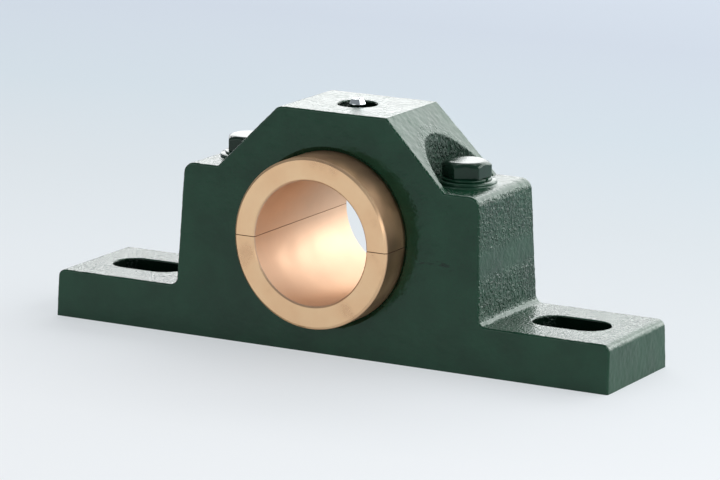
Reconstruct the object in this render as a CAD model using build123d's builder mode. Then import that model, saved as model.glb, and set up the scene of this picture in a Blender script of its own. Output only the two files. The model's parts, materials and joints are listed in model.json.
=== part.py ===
from build123d import *
import math
import os

# Split plummer block: a two-part cast housing on slotted feet, bored for a plain bronze bush in
# two halves, with hex bolts that hold the cap down and a grease nipple on top.
# Millimetres. +X runs along the feet, +Y along the shaft, +Z up. The origin is the middle of the
# underside.

os.makedirs("parts", exist_ok=True)

# ---- driving dimensions -------------------------------------------------------------------
# housing
foot_length = 250.0          # over both feet
base_depth = 53.0            # front to back, at the underside
face_draft = 3.0             # degrees, front and rear faces
end_draft = 1.0              # degrees, foot ends
side_draft = 2.25            # degrees, sides of the upright body
foot_height = 19.5
body_width = 137.0           # between the sides of the body, at the foot top
shoulder_height = 69.8
top_height = 96.5
top_width = 48.6
centre_height = 46.5         # shaft centre, and the joint between base and cap
foot_end_round = 3.5         # corners of the front outline, at the foot ends
shoulder_round = 4.8         # at the shoulders
top_round = 5.0              # at the top
junction_round = 3.2         # inside corner between foot and body
edge_round = 1.1             # front and rear edges

# foot slots
slot_spacing = 192.5
slot_length = 32.0
slot_width = 18.0
slot_rim_round = 0.8

# bush and its seat
shaft_diameter = 50.0
bush_diameter = 68.5
bush_length = 75.0
bush_outer_chamfer = 1.0
bush_bore_chamfer = 0.6
seat_clearance = 0.02        # on the radius, before the bolts are tightened
mouth_chamfer = 1.75         # at both ends of the seat
oil_hole_diameter = 5.0
oil_groove_length = 54.0
oil_groove_width = 4.0
oil_groove_depth = 1.2

# cap bolts, M12, in pockets cast into the slopes
bolt_x = 49.1
bolt_diameter = 11.9
bolt_length = 50.0
head_flats = 17.0
head_height = 6.55
head_chamfer = 30.0          # degrees
head_face_share = 0.86       # flat top of the head, as a share of the flats
bolt_clearance_hole = 13.5
tapped_hole_diameter = 12.0
tapped_hole_depth = 28.0
pocket_x = 52.2
pocket_radius = 19.0
pocket_rim_round = 1.2
flat_washer_diameter = 23.8
flat_washer_thickness = 1.6
spring_washer_diameter = 20.0
spring_washer_thickness = 1.05
washer_hole = 12.6
washer_chamfer = 0.3
spring_washer_gap = 1.1
head_turn = {"left": -1.0, "right": 23.5}     # degrees, as the bolts ended up when tightened
gap_turn = {"left": 150.0, "right": -12.0}   # degrees, where each spring washer is split
bolt_tip_chamfer = 1.2

# cap dowels and bush peg
dowel_diameter = 6.0
dowel_hole_diameter = 6.02
dowel_length = 20.0
dowel_x = 53.0
dowel_y = 15.0
peg_diameter = 6.0
peg_hole_diameter = 6.02
peg_length = 9.0
peg_in_bush = 4.0
pin_chamfer = 0.5

# grease nipple, M6, standing in a counterbore
nipple_pocket_diameter = 15.8
nipple_pocket_depth = 8.7
nipple_hole_diameter = 6.0
nipple_thread_diameter = 5.9
nipple_thread_length = 5.5
nipple_flats = 7.0
nipple_hex_height = 3.2
nipple_neck_diameter = 4.6
nipple_head_diameter = 6.5
nipple_top_diameter = 4.6
nipple_neck_length = 3.6
nipple_head_band = 0.7       # straight part of the head's side
nipple_head_round = 1.9
nipple_height = 10.6         # above its seat
nipple_cup_diameter = 3.4    # countersink in its top
nipple_mouth_depth = 0.45    # from its top down to the lip that the ball closes
passage_radius = 1.25
mouth_radius = 0.85
crimp_radius = 0.7           # at the foot of the passage, under the spring
crimp_height = 0.5
ball_radius = 1.15
ball_gap = 0.05              # between the ball and the lip or the spring
spring_wire_radius = 0.15
spring_coil_radius = 0.8     # to the middle of the wire
spring_turns = 5

# ---- worked out from them -----------------------------------------------------------------
half_length = foot_length / 2
bush_radius = bush_diameter / 2
seat_radius = bush_radius + seat_clearance
nipple_seat = top_height - nipple_pocket_depth
nipple_top = nipple_seat + nipple_height
nipple_foot = nipple_seat - nipple_thread_length
nipple_lip = nipple_top - nipple_mouth_depth
# the ball's middle stands below the lip by the height of the triangle whose base is the lip
ball_centre = nipple_lip - math.sqrt((ball_radius + ball_gap) ** 2 - mouth_radius**2)
spring_reach = ball_radius + ball_gap + spring_wire_radius
spring_top = ball_centre - math.sqrt(spring_reach**2 - spring_coil_radius**2)
spring_foot = nipple_foot + crimp_height + spring_wire_radius
flat_washer_top = shoulder_height + flat_washer_thickness
head_underside = flat_washer_top + spring_washer_thickness
head_top = head_underside + head_height
head_face_radius = head_flats / 2 * head_face_share
head_slope = math.tan(math.radians(head_chamfer))
nipple_neck_top = nipple_seat + nipple_hex_height + nipple_neck_length
nipple_head_bottom = nipple_neck_top + (nipple_head_diameter - nipple_neck_diameter) / 2
slope_bottom = top_width / 2 + top_height - shoulder_height      # the slopes stand at 45 degrees
body_half = body_width / 2
shoulder_half = body_half - (shoulder_height - foot_height) * math.tan(math.radians(side_draft))
foot_top_half = half_length - foot_height * math.tan(math.radians(end_draft))
top_half_width = top_width / 2
top_half_depth = base_depth / 2 - top_height * math.tan(math.radians(face_draft))
peg_bottom = centre_height - bush_radius + peg_in_bush - peg_length
dowel_places = ((-dowel_x, dowel_y), (dowel_x, -dowel_y))
sides = (("left", -1), ("right", 1))


def finish(piece, name):
    """Label a piece and write it as its own STEP file."""
    piece.part.label = name
    export_step(piece.part, f"parts/{name}.step")


# ---- housing envelope: the outside of base and cap together, with the seat bored through -----
with BuildPart() as envelope:
    with BuildSketch(Plane.XZ) as front_outline:
        with BuildLine():
            Polyline(
                (0, 0),
                (half_length, 0),
                (foot_top_half, foot_height),
                (body_half, foot_height),
                (shoulder_half, shoulder_height),
                (slope_bottom, shoulder_height),
                (top_half_width, top_height),
                (0, top_height),
            )
            mirror(about=Plane.YZ)
        make_face()
        inside_corners = front_outline.vertices().filter_by(lambda v: abs(v.X) == body_half)
        fillet(inside_corners, radius=junction_round)
        for corner_x, corner_round in (
            (foot_top_half, foot_end_round),
            (shoulder_half, shoulder_round),
            (top_half_width, top_round),
        ):
            corners = front_outline.vertices().filter_by(lambda v: abs(v.X) == corner_x)
            fillet(corners, radius=corner_round)
    extrude(amount=base_depth, both=True)
    # the draft on the front and rear faces
    with BuildSketch(Plane.YZ):
        with BuildLine():
            Polyline(
                (-base_depth / 2, 0),
                (base_depth / 2, 0),
                (top_half_depth, top_height),
                (-top_half_depth, top_height),
                close=True,
            )
        make_face()
    extrude(amount=foot_length, both=True, mode=Mode.INTERSECT)
    front_and_rear = envelope.faces().sort_by(Axis.Y)
    for face in (front_and_rear[0], front_and_rear[-1]):
        fillet(face.edges().filter_by(lambda edge: edge.center().Z > 0.1), radius=edge_round)
    # the seat, bored through, with an even chamfer round both mouths
    with BuildSketch(Plane.XZ):
        with Locations((0, centre_height)):
            Circle(seat_radius)
    extrude(amount=base_depth, both=True, mode=Mode.SUBTRACT)
    mouths = envelope.edges(Select.LAST).filter_by(GeomType.ELLIPSE)
    chamfer(mouths, length=mouth_chamfer)

# ---- base casting -----------------------------------------------------------------------------
with BuildPart() as base_casting:
    add(envelope.part)
    split(bisect_by=Plane.XY.offset(centre_height), keep=Keep.BOTTOM)
    with BuildSketch():
        with GridLocations(slot_spacing, 0, 2, 1):
            SlotOverall(slot_length, slot_width)
    extrude(amount=foot_height, mode=Mode.SUBTRACT)
    slot_rims = base_casting.edges(Select.LAST).group_by(Axis.Z)[-1]
    fillet(slot_rims, radius=slot_rim_round)
    # tapped holes for the cap bolts, and dowel holes, in the joint face
    with BuildSketch(Plane.XY.offset(centre_height)):
        with GridLocations(2 * bolt_x, 0, 2, 1):
            Circle(tapped_hole_diameter / 2)
    extrude(amount=-tapped_hole_depth, mode=Mode.SUBTRACT)
    with BuildSketch(Plane.XY.offset(centre_height)):
        with Locations(*dowel_places):
            Circle(dowel_hole_diameter / 2)
    extrude(amount=-dowel_length / 2, mode=Mode.SUBTRACT)
    # blind hole for the peg, in the bottom of the seat
    with BuildSketch(Plane.XY.offset(peg_bottom)):
        Circle(peg_hole_diameter / 2)
    extrude(amount=peg_length, mode=Mode.SUBTRACT)
finish(base_casting, "base_casting")

# ---- cap casting ------------------------------------------------------------------------------
with BuildPart() as cap_casting:
    add(envelope.part)
    split(bisect_by=Plane.XY.offset(centre_height), keep=Keep.TOP)
    # pockets in the slopes that make room for the bolt heads
    with BuildSketch(Plane.XY.offset(shoulder_height)):
        with GridLocations(2 * pocket_x, 0, 2, 1):
            Circle(pocket_radius)
    extrude(amount=top_height, mode=Mode.SUBTRACT)
    pocket_rims = cap_casting.edges(Select.LAST).filter_by(
        lambda edge: edge.center().Z > shoulder_height + 1 and edge.geom_type == GeomType.ELLIPSE
    )
    fillet(pocket_rims, radius=pocket_rim_round)
    # clearance holes for the bolts, and dowel holes
    with BuildSketch(Plane.XY.offset(centre_height)):
        with GridLocations(2 * bolt_x, 0, 2, 1):
            Circle(bolt_clearance_hole / 2)
    extrude(amount=shoulder_height, mode=Mode.SUBTRACT)
    with BuildSketch(Plane.XY.offset(centre_height)):
        with Locations(*dowel_places):
            Circle(dowel_hole_diameter / 2)
    extrude(amount=dowel_length / 2, mode=Mode.SUBTRACT)
    # tapped hole and counterbore for the grease nipple
    with Locations((0, 0, top_height)):
        CounterBoreHole(
            radius=nipple_hole_diameter / 2,
            counter_bore_radius=nipple_pocket_diameter / 2,
            counter_bore_depth=nipple_pocket_depth,
            depth=top_height - centre_height,
        )
    nipple_rim = cap_casting.edges().filter_by(GeomType.CIRCLE).group_by(Axis.Z)[-1]
    fillet(nipple_rim, radius=slot_rim_round)
finish(cap_casting, "cap_casting")

# ---- bush: turned whole, drilled and grooved, then cut into halves -----------------------------
with BuildPart() as bush:
    with BuildSketch(Plane.XZ):
        with Locations((0, centre_height)):
            Circle(bush_radius)
            Circle(shaft_diameter / 2, mode=Mode.SUBTRACT)
    extrude(amount=bush_length / 2, both=True)
    rims = bush.edges().filter_by(GeomType.CIRCLE).sort_by(SortBy.RADIUS)
    chamfer(rims[-2:], length=bush_outer_chamfer)
    chamfer(rims[:2], length=bush_bore_chamfer)

with BuildPart() as lower_bush_half:
    add(bush.part)
    split(bisect_by=Plane.XY.offset(centre_height), keep=Keep.BOTTOM)
    with BuildSketch(Plane.XY.offset(peg_bottom)):
        Circle(peg_hole_diameter / 2)
    extrude(amount=peg_length + seat_clearance, mode=Mode.SUBTRACT)
finish(lower_bush_half, "lower_bush_half")

with BuildPart() as upper_bush_half:
    add(bush.part)
    split(bisect_by=Plane.XY.offset(centre_height), keep=Keep.TOP)
    with BuildSketch(Plane.XY.offset(centre_height)):
        Circle(oil_hole_diameter / 2)
    extrude(amount=bush_diameter, mode=Mode.SUBTRACT)
    with BuildSketch(Plane.XY.offset(centre_height)):
        SlotOverall(oil_groove_length, oil_groove_width, rotation=90)
    extrude(amount=shaft_diameter / 2 + oil_groove_depth, mode=Mode.SUBTRACT)
finish(upper_bush_half, "upper_bush_half")

# ---- dowels between base and cap, and the peg that holds the bush from turning -----------------
for (side, _), place in zip(sides, dowel_places):
    with BuildPart() as cap_dowel:
        with BuildSketch(Plane.XY.offset(centre_height - dowel_length / 2)):
            with Locations(place):
                Circle(dowel_diameter / 2)
        extrude(amount=dowel_length)
        chamfer(cap_dowel.edges().filter_by(GeomType.CIRCLE), length=pin_chamfer)
    finish(cap_dowel, f"cap_dowel_{side}")

with BuildPart() as bush_peg:
    with BuildSketch(Plane.XY.offset(peg_bottom)):
        Circle(peg_diameter / 2)
    extrude(amount=peg_length)
    chamfer(bush_peg.edges().filter_by(GeomType.CIRCLE), length=pin_chamfer)
finish(bush_peg, "bush_peg")

# ---- cap bolts with their washers --------------------------------------------------------------
for side, sign in sides:
    axis_x = sign * bolt_x

    with BuildPart() as flat_washer:
        with BuildSketch(Plane.XY.offset(shoulder_height)):
            with Locations((axis_x, 0)):
                Circle(flat_washer_diameter / 2)
                Circle(washer_hole / 2, mode=Mode.SUBTRACT)
        extrude(amount=flat_washer_thickness)
        outer_rims = flat_washer.edges().filter_by(GeomType.CIRCLE).sort_by(SortBy.RADIUS)[-2:]
        chamfer(outer_rims, length=washer_chamfer)
    finish(flat_washer, f"flat_washer_{side}")

    # the spring washer, pressed flat, with a slanted split at gap_turn
    washer_plane = Plane(origin=(axis_x, 0, flat_washer_top)).rotated((0, 0, gap_turn[side]))
    split_plane = Plane(washer_plane.origin, x_dir=washer_plane.y_dir, z_dir=washer_plane.x_dir)
    with BuildPart() as spring_washer:
        with BuildSketch(washer_plane):
            Circle(spring_washer_diameter / 2)
            Circle(washer_hole / 2, mode=Mode.SUBTRACT)
        extrude(amount=spring_washer_thickness)
        outer_rims = spring_washer.edges().filter_by(GeomType.CIRCLE).sort_by(SortBy.RADIUS)[-2:]
        chamfer(outer_rims, length=washer_chamfer / 2)
        with BuildSketch(split_plane):
            with BuildLine():
                Polyline(
                    (-spring_washer_thickness / 2 - spring_washer_gap / 2, 0),
                    (-spring_washer_thickness / 2 + spring_washer_gap / 2, 0),
                    (spring_washer_thickness / 2 + spring_washer_gap / 2, spring_washer_thickness),
                    (spring_washer_thickness / 2 - spring_washer_gap / 2, spring_washer_thickness),
                    close=True,
                )
            make_face()
        extrude(amount=spring_washer_diameter, mode=Mode.SUBTRACT)
    finish(spring_washer, f"spring_washer_{side}")

    # the bolt: a hexagon trimmed by a cone, on a plain shank
    with BuildPart() as cap_bolt:
        with BuildSketch(Plane.XY.offset(head_underside)):
            with Locations((axis_x, 0)):
                RegularPolygon(head_flats / 2, 6, major_radius=False, rotation=head_turn[side])
        extrude(amount=head_height)
        with BuildSketch(Plane.XZ):
            with BuildLine():
                Polyline(
                    (axis_x, head_underside),
                    (axis_x + head_flats, head_underside),
                    (axis_x + head_flats, head_top - (head_flats - head_face_radius) * head_slope),
                    (axis_x + head_face_radius, head_top),
                    (axis_x, head_top),
                    close=True,
                )
            make_face()
        revolve(axis=Axis((axis_x, 0, 0), (0, 0, 1)), mode=Mode.INTERSECT)
        with BuildSketch(Plane.XY.offset(head_underside)):
            with Locations((axis_x, 0)):
                Circle(bolt_diameter / 2)
        extrude(amount=-bolt_length)
        chamfer(cap_bolt.faces().sort_by(Axis.Z)[0].edges(), length=bolt_tip_chamfer)
    finish(cap_bolt, f"cap_bolt_{side}")

# ---- grease nipple: threaded stem, hexagon, neck and coupling head, bored for ball and spring --
with BuildPart() as grease_nipple_body:
    with BuildSketch(Plane.XY.offset(nipple_seat)):
        RegularPolygon(nipple_flats / 2, 6, major_radius=False)
    extrude(amount=nipple_hex_height)
    chamfer(grease_nipple_body.faces().sort_by(Axis.Z)[-1].edges(), length=pin_chamfer)
    with BuildSketch(Plane.XZ):
        with BuildLine():
            thread_radius = nipple_thread_diameter / 2
            neck_radius = nipple_neck_diameter / 2
            head_radius = nipple_head_diameter / 2
            Polyline(
                (0, nipple_foot),
                (thread_radius - pin_chamfer, nipple_foot),
                (thread_radius, nipple_foot + pin_chamfer),
                (thread_radius, nipple_seat),
                (neck_radius, nipple_seat),
                (neck_radius, nipple_neck_top),
                (head_radius, nipple_head_bottom),
                (head_radius, nipple_head_bottom + nipple_head_band),
            )
            RadiusArc(
                (head_radius, nipple_head_bottom + nipple_head_band),
                (nipple_top_diameter / 2, nipple_top),
                -nipple_head_round,
            )
            Polyline((nipple_top_diameter / 2, nipple_top), (0, nipple_top), (0, nipple_foot))
        make_face()
    revolve(axis=Axis.Z)
    with BuildSketch(Plane.XZ):
        with BuildLine():
            Polyline(
                (0, nipple_foot),
                (crimp_radius, nipple_foot),
                (crimp_radius, nipple_foot + crimp_height),
                (passage_radius, nipple_foot + crimp_height),
                (passage_radius, nipple_lip - (passage_radius - mouth_radius)),
                (mouth_radius, nipple_lip),
                (nipple_cup_diameter / 2, nipple_top),
                (0, nipple_top),
                close=True,
            )
        make_face()
    revolve(axis=Axis.Z, mode=Mode.SUBTRACT)
finish(grease_nipple_body, "grease_nipple_body")

with BuildPart() as nipple_check_ball:
    with Locations((0, 0, ball_centre)):
        Sphere(ball_radius)
finish(nipple_check_ball, "nipple_check_ball")

with BuildPart() as nipple_spring:
    with BuildLine(Plane.XY.offset(spring_foot)) as coil:
        spring_length = spring_top - spring_foot
        Helix(spring_length / spring_turns, spring_length, spring_coil_radius)
    with BuildSketch(Plane(coil.line @ 0, z_dir=coil.line % 0)):
        RegularPolygon(spring_wire_radius, 6)
    sweep(path=coil.line, is_frenet=True)
finish(nipple_spring, "nipple_spring")
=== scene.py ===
# %% [markdown]
# # A split plummer block, dressed in Blender
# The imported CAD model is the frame: a cast housing in two halves, a bronze bush in two halves,
# two bolts with their washers and a grease nipple. This lesson adds what a CAD solid leaves out:
# the skin of the castings under their enamel, turned bronze, threads and light.
# Everything is in metres and already stands where the CAD puts it.

# %% The frame and its size
import json
import math

import bmesh
import bpy
from mathutils import Matrix, Vector


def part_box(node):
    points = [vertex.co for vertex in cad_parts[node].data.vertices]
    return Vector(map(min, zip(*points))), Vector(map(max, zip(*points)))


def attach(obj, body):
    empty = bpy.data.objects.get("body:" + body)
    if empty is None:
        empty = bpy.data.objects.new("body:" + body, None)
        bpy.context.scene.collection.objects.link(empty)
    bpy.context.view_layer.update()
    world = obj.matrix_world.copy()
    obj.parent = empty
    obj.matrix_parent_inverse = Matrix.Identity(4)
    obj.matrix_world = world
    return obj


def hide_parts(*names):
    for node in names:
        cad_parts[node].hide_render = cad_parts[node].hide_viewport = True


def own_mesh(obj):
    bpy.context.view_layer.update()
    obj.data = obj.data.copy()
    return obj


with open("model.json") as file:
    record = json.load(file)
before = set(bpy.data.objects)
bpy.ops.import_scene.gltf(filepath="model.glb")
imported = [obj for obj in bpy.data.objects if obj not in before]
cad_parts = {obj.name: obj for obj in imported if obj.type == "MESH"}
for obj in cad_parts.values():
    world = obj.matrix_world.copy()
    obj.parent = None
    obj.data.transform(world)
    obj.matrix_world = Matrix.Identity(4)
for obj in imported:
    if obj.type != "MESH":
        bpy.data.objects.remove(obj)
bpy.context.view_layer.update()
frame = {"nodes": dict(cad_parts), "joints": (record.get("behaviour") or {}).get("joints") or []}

MM = 0.001

# %% [markdown]
# ## Where the parts meet
# A few sizes are read from the frame, so that the lesson follows the CAD if that changes: the
# joint between base and cap, the shaft centre, the shoulders that carry the washers.

# %% Places read from the CAD nodes
BASE_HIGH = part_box("base_casting")[1]
CAP_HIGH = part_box("cap_casting")[1]
BUSH_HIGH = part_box("lower_bush_half")[1]
BOLT_LOW, BOLT_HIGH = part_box("cap_bolt_right")
SPRING_LOW, SPRING_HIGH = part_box("nipple_spring")
WASHER_LOW, WASHER_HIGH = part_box("flat_washer_right")
NIPPLE_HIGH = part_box("grease_nipple_body")[1]

JOINT_Z = BASE_HIGH.z
SHAFT = Vector((0, 0, JOINT_Z))
SEAT_RADIUS = BUSH_HIGH.x
BORE_RADIUS = min(math.hypot(v.co.x, v.co.z - JOINT_Z)
                  for v in frame["nodes"]["lower_bush_half"].data.vertices)
SHOULDER_Z = WASHER_LOW.z
BOLT_X = (WASHER_LOW.x + WASHER_HIGH.x) / 2
WASHER_RADIUS = (WASHER_HIGH.x - WASHER_LOW.x) / 2
BODY_HALF_WIDTH = CAP_HIGH.x
SLOT_X = 96.25 * MM           # from the middle to the middle of a foot's slot
CALM_Z = JOINT_Z - 4 * MM     # middle of the calm band on the sides
SIDES = (("left", -1), ("right", 1))
print("joint", JOINT_Z / MM, "seat radius", SEAT_RADIUS / MM, "bore radius", BORE_RADIUS / MM,
      "bolt x", BOLT_X / MM)

# %% [markdown]
# ## The camera
# A long lens, a metre and a half away, keeps the feet nearly parallel. The camera stands to the
# right of the front and a little above, and is rolled by less than a degree.

# %% The camera
CAMERA_AZIMUTH = math.radians(28.81)
CAMERA_ELEVATION = math.radians(12.5)
CAMERA_ROLL = math.radians(0.68)
CAMERA_DISTANCE = 1.695
CAMERA_TARGET = Vector((0.0018, 0, 0.0413))

back = Vector((
    math.sin(CAMERA_AZIMUTH) * math.cos(CAMERA_ELEVATION),
    -math.cos(CAMERA_AZIMUTH) * math.cos(CAMERA_ELEVATION),
    math.sin(CAMERA_ELEVATION),
))
level_right = Vector((math.cos(CAMERA_AZIMUTH), math.sin(CAMERA_AZIMUTH), 0))
level_up = back.cross(level_right)
right = math.cos(CAMERA_ROLL) * level_right + math.sin(CAMERA_ROLL) * level_up
up = back.cross(right)

camera = bpy.data.objects.new("camera", bpy.data.cameras.new("camera"))
bpy.context.scene.collection.objects.link(camera)
bpy.context.scene.camera = camera
camera.data.lens = 213
camera.data.sensor_width = 36
camera.data.clip_start, camera.data.clip_end = 0.01, 50
camera.matrix_world = Matrix.LocRotScale(
    CAMERA_TARGET + CAMERA_DISTANCE * back,
    Matrix((right, up, back)).transposed(),
    None,
)
print("camera at", [round(v, 3) for v in camera.location])

# %% [markdown]
# ## Building a material in code
# A material is a small graph. Two helpers keep it readable: one adds a node and fills its
# sockets, the other starts a material with a Principled shader whose constants are set on it.


# %% Helpers for materials
def add_node(tree, kind, values=None, **settings):
    """A node of that kind, with its settings, and its sockets filled with values or links."""
    node = tree.nodes.new(kind)
    for name, value in settings.items():
        setattr(node, name, value)
    for socket, value in (values or {}).items():
        if isinstance(value, bpy.types.NodeSocket):
            tree.links.new(value, node.inputs[socket])
        else:
            node.inputs[socket].default_value = value
    return node


def new_material(name, constants):
    """A material with a Principled shader, and that shader."""
    material = bpy.data.materials.new(name)
    material.use_nodes = True
    tree = material.node_tree
    shader = tree.nodes["Principled BSDF"]
    for socket, value in constants.items():
        shader.inputs[socket].default_value = value
    return material, tree, shader


def math_node(tree, operation, first, second=0.0, third=0.0):
    """The result of a Math node."""
    values = {0: first, 1: second, 2: third}
    return add_node(tree, "ShaderNodeMath", values, operation=operation).outputs[0]


def ramp(tree, value, low, high, to_low=0.0, to_high=1.0):
    """value, taken smoothly from the range low to high to the range to_low to to_high."""
    values = {0: value, 1: low, 2: high, 3: to_low, 4: to_high}
    node = add_node(tree, "ShaderNodeMapRange", values, interpolation_type="SMOOTHSTEP")
    return node.outputs[0]


def near(tree, value, middle, inner, outer):
    """1 where value is within inner of middle, falling to 0 at outer."""
    away = math_node(tree, "ABSOLUTE", math_node(tree, "SUBTRACT", value, middle))
    return ramp(tree, away, inner, outer, 1.0, 0.0)


def mix_colours(tree, share, first, second):
    """first, turning into second as share goes from 0 to 1. Colours have four numbers."""
    values = {0: share, 6: first, 7: second}
    return add_node(tree, "ShaderNodeMix", values, data_type="RGBA").outputs[2]


# %% [markdown]
# ## Floor and light
# The floor is a wide pale sheet. Its shade drifts a little from the front to the back, as a
# backdrop's does. Part of what is seen is the paper under the lamps, so the block keeps its
# shadow, and the rest is the backdrop's own shade. Mirror rays see just what the camera sees.
# Big soft boxes stand behind, beside, above and in front; the camera doesn't see them.


# %% The floor
def colour_ramp(tree, value, stops):
    """Colours at places from 0 to 1 along value."""
    node = add_node(tree, "ShaderNodeValToRGB", {"Fac": value})
    band = node.color_ramp.elements
    while len(band) < len(stops):
        band.new(0.5)
    for element, (place, colour) in zip(band, stops):
        element.position, element.color = place, (*colour, 1)
    return node.outputs["Color"]


PAPER_SHARE = 0.35     # of what is seen: the rest is the backdrop's own shade
DRIFT_START, DRIFT_LENGTH = -0.15, 0.83     # metres, from the front to the back
FLOOR_HALF_WIDTH = 4


def floor_material():
    material = bpy.data.materials.new("pale_floor")
    material.use_nodes = True
    tree = material.node_tree
    tree.nodes.clear()
    place = add_node(tree, "ShaderNodeTexCoord").outputs["Object"]
    depth = add_node(tree, "ShaderNodeSeparateXYZ", {0: place}).outputs[1]
    drift = math_node(tree, "MULTIPLY_ADD", depth, 1 / DRIFT_LENGTH, -DRIFT_START / DRIFT_LENGTH)
    shade = colour_ramp(tree, drift, (
        (0.00, (0.824, 0.848, 0.868)),
        (0.47, (0.648, 0.694, 0.725)),
        (0.70, (0.573, 0.638, 0.686)),
        (1.00, (0.522, 0.573, 0.642)),
    ))
    paper = add_node(tree, "ShaderNodeBsdfDiffuse", {"Color": shade})
    seen = add_node(tree, "ShaderNodeEmission", {"Color": shade, "Strength": 1.0})
    rays = add_node(tree, "ShaderNodeLightPath").outputs
    seen_rays = math_node(tree, "MAXIMUM", rays["Is Camera Ray"], rays["Is Glossy Ray"])
    seen_rays = math_node(tree, "MAXIMUM", seen_rays, rays["Is Transmission Ray"])
    backdrop = math_node(tree, "MULTIPLY", seen_rays, 1 - PAPER_SHARE)
    mix = add_node(tree, "ShaderNodeMixShader", {0: backdrop, 1: paper.outputs[0], 2: seen.outputs[0]})
    out = add_node(tree, "ShaderNodeOutputMaterial")
    tree.links.new(mix.outputs[0], out.inputs["Surface"])
    return material


def make_sheet(name, half_width):
    mesh = bpy.data.meshes.new(name)
    corners = [(x * half_width, y * half_width, 0) for x, y in ((-1, -1), (1, -1), (1, 1), (-1, 1))]
    mesh.from_pydata(corners, [], [(0, 1, 2, 3)])
    sheet = bpy.data.objects.new(name, mesh)
    bpy.context.scene.collection.objects.link(sheet)
    return sheet


floor = make_sheet("floor", FLOOR_HALF_WIDTH)
floor.data.materials.append(floor_material())
print("floor", 2 * FLOOR_HALF_WIDTH, "m wide, paper share", PAPER_SHARE)


# %% The soft boxes
def soft_box(name, azimuth, elevation, distance, width, height, brightness):
    """An area light round the block, facing it. Azimuth 0 is behind it and 90 to its right.
    Its brightness is how many times white it looks in a mirror."""
    light = bpy.data.lights.new(name, "AREA")
    light.shape = "RECTANGLE"
    light.size, light.size_y = width, height
    light.energy = brightness * math.pi * width * height
    a, e = math.radians(azimuth), math.radians(elevation)
    away = Vector((math.sin(a) * math.cos(e), math.cos(a) * math.cos(e), math.sin(e)))
    box = bpy.data.objects.new(name, light)
    bpy.context.scene.collection.objects.link(box)
    box.location = SHAFT + distance * away
    box.rotation_mode = "QUATERNION"
    box.rotation_quaternion = away.to_track_quat("Z", "Y")
    box.visible_camera = False


SOFT_BOXES = (     # name, azimuth, elevation, distance, width, height, brightness
    ("low_back_box", -13, 12.5, 1.7, 2.9, 0.56, 2.75),
    ("high_back_box", -6, 34, 1.6, 2.8, 0.72, 3.8),
    ("side_box", 36, 12, 1.6, 1.0, 0.60, 3.4),
    ("top_box", -25, 70, 1.4, 0.8, 0.7, 1.2),
    ("right_box", 75, 34, 1.3, 1.2, 0.8, 3.8),
    ("edge_strip", 120, 13, 1.6, 0.25, 0.45, 3.0),
    ("front_box", 209, 16, 1.6, 1.8, 0.70, 1.2),
)
for settings in SOFT_BOXES:
    soft_box(*settings)
print("soft boxes:", ", ".join(settings[0] for settings in SOFT_BOXES))

world = bpy.data.worlds.new("studio")
bpy.context.scene.world = world
world.use_nodes = True
studio = world.node_tree
background = studio.nodes["Background"]
background.inputs["Color"].default_value = (0.86, 0.92, 1.0, 1)
rays = add_node(studio, "ShaderNodeLightPath")
WORLD_LIGHT, WORLD_SEEN = 0.35, 0.75
level = ramp(studio, rays.outputs["Is Camera Ray"], 0, 1, WORLD_LIGHT, WORLD_SEEN)
studio.links.new(level, background.inputs["Strength"])
bpy.context.scene.view_settings.view_transform = "Standard"

# %% [markdown]
# ## Green enamel
# Thick gloss enamel, brushed over a rough casting: nearly black green, a hard clear surface,
# and a skin full of ripples. The colour hardly varies, but for painted light on the walls of the
# bolt pockets and painted shade in the holes; the ripples do the work. They aren't the same
# everywhere, so masks tell where a point is: on a side, an edge, a front, in a bolt pocket.

# %% Values of the enamel
CALM_REACH = (3 * MM, 9 * MM)         # where the calm band on the sides starts and stops fading
POCKET_REACH = (19 * MM, 20 * MM)     # of the bolt pockets, from the bolts
SLOT_REACH = ((16.2 * MM, 16.4 * MM), (9.2 * MM, 9.4 * MM))     # half length, half width
NIPPLE_REACH = (11.4 * MM, 11.6 * MM)
STROKES_X = (48 * MM, 6 * MM, 11 * MM)     # middle, inner and outer reach
PLAIN_FLECKS, SIDE_FLECKS, POCKET_FLECKS, EDGE_FLECKS = 0.04, 5.5, 3.0, 1.2
BRUSH_MARKS = 1.6
POCKET_DULLNESS, SIDE_DULLNESS = 0.22, 0.16
STROKE_COLOUR = (0.0015, 0.013, 0.0065, 1)
# painted light: the paler green of the bolt pockets' walls
POCKET_LIGHT_COLOUR = (0.055, 0.082, 0.066, 1)
# painted shade: the darker green down in the slots and the nipple's pocket
HOLE_SHADE_COLOUR = (0.0010, 0.0030, 0.0020, 1)


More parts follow.
